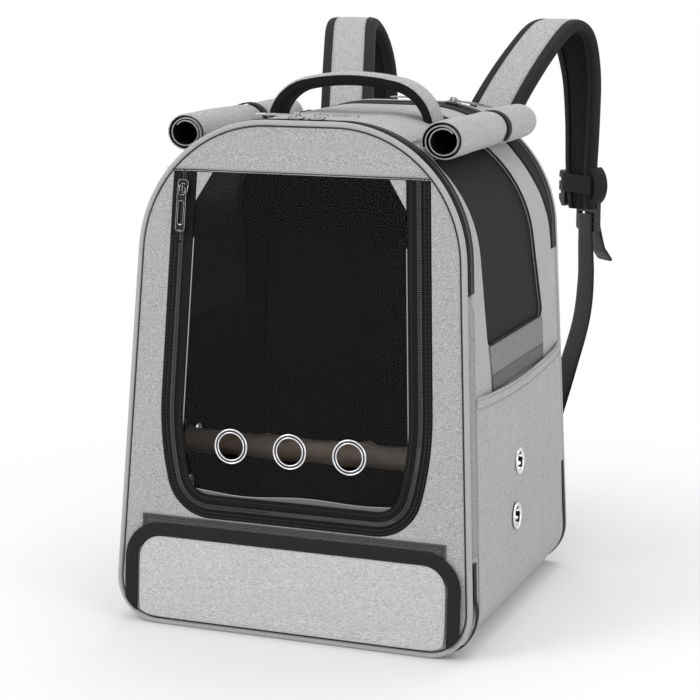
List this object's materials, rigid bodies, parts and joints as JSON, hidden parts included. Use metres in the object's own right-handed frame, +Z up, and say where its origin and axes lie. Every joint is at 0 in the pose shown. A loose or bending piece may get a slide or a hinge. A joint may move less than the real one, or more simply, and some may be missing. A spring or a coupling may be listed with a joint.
{
  "type": "bird travel carrier",
  "caption": "Soft-sided backpack carrier for a small bird, with an arched front, clear zip window door, mesh sides, perch, slide-out floor tray and shoulder straps.",
  "frame": {"origin": "centre of the flat underside", "axes": "+X towards the carrier's right as seen from its front, +Y from the window towards the wearer's back, +Z up"},
  "size_m": [0.32, 0.4831, 0.5003],
  "materials": {
    "grey_fabric": "woven melange cloth",
    "grey_piping": "satin corded trim",
    "black_fabric": "plain woven cloth",
    "black_mesh": "fine net",
    "black_webbing": "ribbed tape",
    "zip_teeth": "moulded coil",
    "hook_and_loop": "bristled tape",
    "bright_metal": "polished",
    "clear_vinyl": "clear flexible sheet",
    "bark": "rough dark bark",
    "tray_plastic": "moulded",
    "black_padding": "padded cloth",
    "black_plastic": "moulded"
  },
  "bodies": {
    "carrier_body": {"front_panel": "grey_fabric", "top_panel": "grey_fabric", "side_panel_left": "grey_fabric", "side_panel_right": "grey_fabric", "base_panel": "black_fabric", "base_board": "black_fabric", "back_panel": "black_fabric", "lining": "black_fabric", "front_piping": "grey_piping", "back_piping": "grey_piping", "front_zip_tape": "black_webbing", "front_zip_teeth": "zip_teeth", "back_zip_tape": "black_webbing", "back_zip_teeth": "zip_teeth", "window_frame_tape": "black_webbing", "window_frame_teeth": "zip_teeth", "flap_hook_strip": "hook_and_loop", "floor_tray": "tray_plastic", "perch": "bark", "perch_cups": "black_fabric", "mesh_window_left": "black_mesh", "mesh_window_right": "black_mesh", "side_pocket_left": "grey_fabric", "side_pocket_right": "grey_fabric", "side_eyelets": "bright_metal", "corner_guards": "black_webbing", "rolled_flap_left": "grey_fabric", "rolled_flap_right": "grey_fabric", "flap_ties": "black_webbing", "handle_patches": "grey_fabric", "back_pads": "black_fabric", "strap_yoke": "black_fabric", "shoulder_strap_left": "black_padding", "shoulder_strap_right": "black_padding", "strap_webbing_left": "black_webbing", "strap_webbing_right": "black_webbing", "ladder_locks": "black_plastic", "webbing_tails": "black_webbing", "chest_loops": "black_webbing", "chest_buckles": "black_plastic", "lower_anchors": "black_fabric"},
    "window_door": {"window_sheet": "clear_vinyl", "window_door_tape": "black_webbing", "window_door_teeth": "zip_teeth", "window_corner_patches": "grey_fabric", "window_eyelets": "bright_metal"},
    "tray_flap": {"tray_flap_panel": "grey_fabric", "tray_flap_binding": "black_webbing", "tray_flap_loop_strip": "hook_and_loop"},
    "window_slider": {"window_slider": "bright_metal"},
    "window_pull": {"window_pull": "bright_metal"},
    "front_slider_left": {"front_slider_left": "bright_metal"},
    "front_slider_right": {"front_slider_right": "bright_metal"},
    "front_pull_left": {"front_pull_left": "bright_metal"},
    "front_pull_right": {"front_pull_right": "bright_metal"},
    "back_slider_left": {"back_slider_left": "bright_metal"},
    "back_slider_right": {"back_slider_right": "bright_metal"},
    "back_pull_left": {"back_pull_left": "bright_metal"},
    "back_pull_right": {"back_pull_right": "bright_metal"},
    "carry_handle": {"handle_cover": "grey_fabric", "handle_core": "black_padding"}
  },
  "joints": [
    {"name": "window_hinge", "type": "hinge", "parent": "carrier_body", "child": "window_door", "pos_m": [0, -0.11932, 0.38598], "axis": [-1, 0, 0], "range_deg": [0, 150]},
    {"name": "tray_flap_hinge", "type": "hinge", "parent": "carrier_body", "child": "tray_flap", "pos_m": [0, -0.15121, 0.00762], "axis": [1, 0, 0], "range_deg": [0, 90]},
    {"name": "window_zip_travel", "type": "slide", "parent": "carrier_body", "child": "window_slider", "axis": [-0.0427, -0.0784, -0.996], "range_m": [0, 0.165]},
    {"name": "window_pull_swing", "type": "hinge", "parent": "window_slider", "child": "window_pull", "pos_m": [-0.10309, -0.12368, 0.37208], "axis": [-0.9991, 0.0034, 0.0426], "range_deg": [0, 150]},
    {"name": "front_zip_travel_left", "type": "hinge", "parent": "carrier_body", "child": "front_slider_left", "pos_m": [-0.03, -0.11106, 0.315], "axis": [0, -0.9969, 0.0785], "range_deg": [0, 97]},
    {"name": "front_zip_travel_right", "type": "hinge", "parent": "carrier_body", "child": "front_slider_right", "pos_m": [0.03, -0.11106, 0.315], "axis": [0, 0.9969, -0.0785], "range_deg": [0, 97]},
    {"name": "front_pull_swing_left", "type": "hinge", "parent": "front_slider_left", "child": "front_pull_left", "pos_m": [-0.009, -0.10201, 0.43335], "axis": [0, 1, 0], "range_deg": [0, 100]},
    {"name": "front_pull_swing_right", "type": "hinge", "parent": "front_slider_right", "child": "front_pull_right", "pos_m": [0.009, -0.10201, 0.43335], "axis": [0, -1, 0], "range_deg": [0, 100]},
    {"name": "back_zip_travel_left", "type": "slide", "parent": "carrier_body", "child": "back_slider_left", "axis": [-1, 0, 0], "range_m": [0, 0.054]},
    {"name": "back_zip_travel_right", "type": "hinge", "parent": "carrier_body", "child": "back_slider_right", "pos_m": [0.03, 0.134, 0.315], "axis": [0, 1, 0], "range_deg": [0, 77]},
    {"name": "back_pull_swing_left", "type": "hinge", "parent": "back_slider_left", "child": "back_pull_left", "pos_m": [0.024, 0.134, 0.43335], "axis": [0, 1, 0], "range_deg": [0, 100]},
    {"name": "back_pull_swing_right", "type": "hinge", "parent": "back_slider_right", "child": "back_pull_right", "pos_m": [0.04851, 0.134, 0.43189], "axis": [0, -1, 0], "range_deg": [0, 100]},
    {"name": "handle_lean", "type": "hinge", "parent": "carrier_body", "child": "carry_handle", "pos_m": [0, 0.008, 0.43821], "axis": [1, 0, 0], "range_deg": [-45, 45]}
  ]
}
